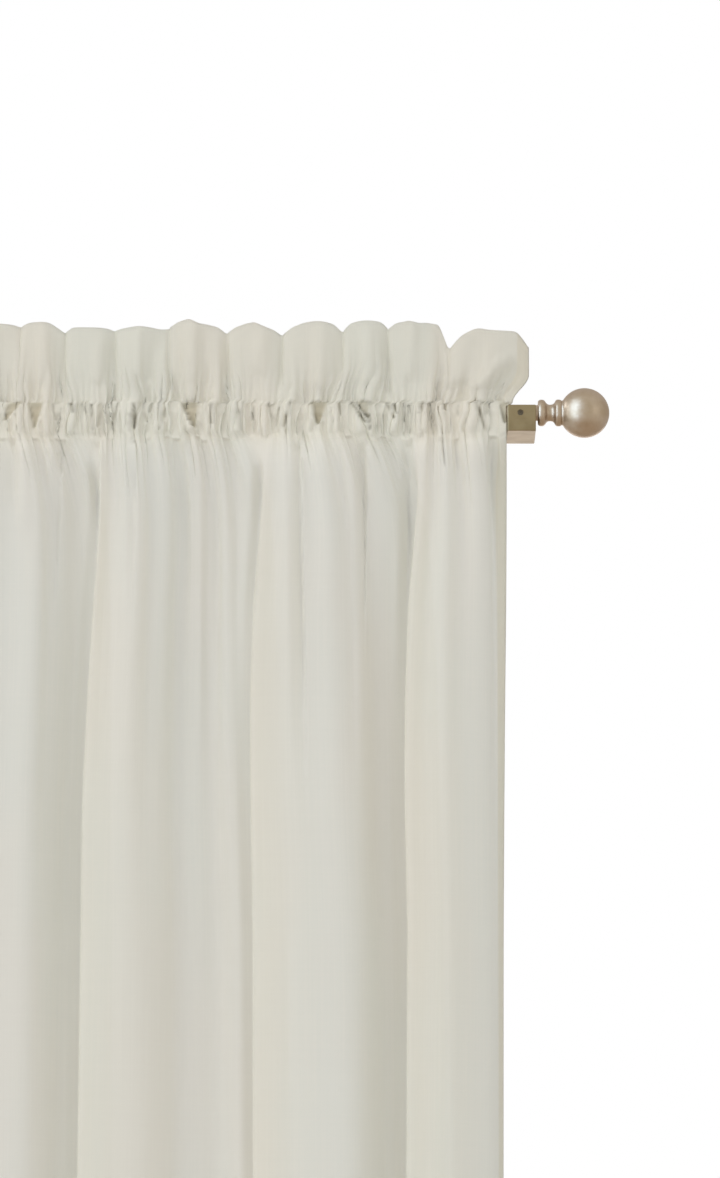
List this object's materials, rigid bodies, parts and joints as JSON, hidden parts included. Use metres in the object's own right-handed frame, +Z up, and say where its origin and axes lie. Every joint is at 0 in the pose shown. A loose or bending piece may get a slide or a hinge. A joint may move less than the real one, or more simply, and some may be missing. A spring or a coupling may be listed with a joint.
{
  "type": "sheer voile curtain on a rod",
  "caption": "Sheer rod-pocket curtain with a ruffled heading, gathered on a slim metal rod with ball finials and wall brackets.",
  "frame": {"origin": "middle of the right bracket's wall plate, on its back face, level with the rod", "axes": "+Z up, +X to the right along the rod as seen from the room, +Y towards the wall"},
  "size_m": [0.8594, 0.1011, 2.1379],
  "materials": {
    "voile": "off-white plain-weave voile, semi-sheer, fine uneven yarns",
    "nickel": "champagne nickel, satin",
    "screw_steel": "dull"
  },
  "bodies": {
    "root": {"curtain": "voile", "rod": "nickel", "finial_right": "nickel", "finial_left": "nickel", "bracket_right": "nickel", "bracket_left": "nickel", "set_screw_right": "screw_steel", "set_screw_left": "screw_steel"}
  },
  "joints": []
}
